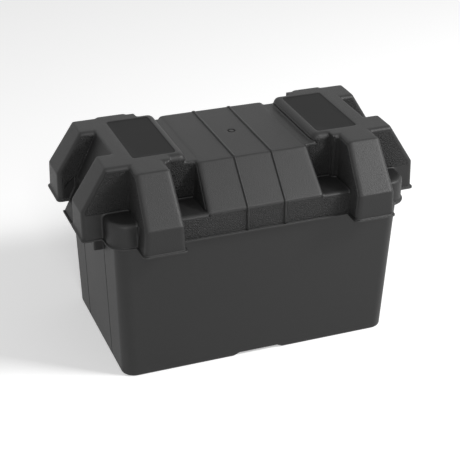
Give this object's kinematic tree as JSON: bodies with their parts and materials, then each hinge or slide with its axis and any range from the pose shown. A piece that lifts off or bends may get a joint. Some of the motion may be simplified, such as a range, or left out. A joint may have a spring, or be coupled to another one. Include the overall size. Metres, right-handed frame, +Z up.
{
  "type": "battery box",
  "caption": "Black moulded battery box: an open case with hand grips at its ends and a lift-off vented lid with cable hoods and ribs that guide a hold-down strap.",
  "frame": {"origin": "Under the middle of the whole box, on the surface it stands on. The case itself lies 10.75 mm behind it, because the two cable hoods reach out at the front.", "axes": "+X along the length, +Z up, and -Y towards the front, where the two cable hoods are."},
  "size_m": [0.419, 0.2566, 0.2615],
  "materials": {
    "case_plastic": "moulded black polypropylene, fine matte",
    "lid_plastic": "moulded black polypropylene, spark-eroded grain on the upright faces"
  },
  "bodies": {
    "case_body": {"case_body": "case_plastic"},
    "lid": {"lid": "lid_plastic"}
  },
  "joints": [
    {"name": "lid_lift", "type": "slide", "parent": "case_body", "child": "lid", "axis": [0, 0, 1], "range_m": [0, 0.15]}
  ]
}
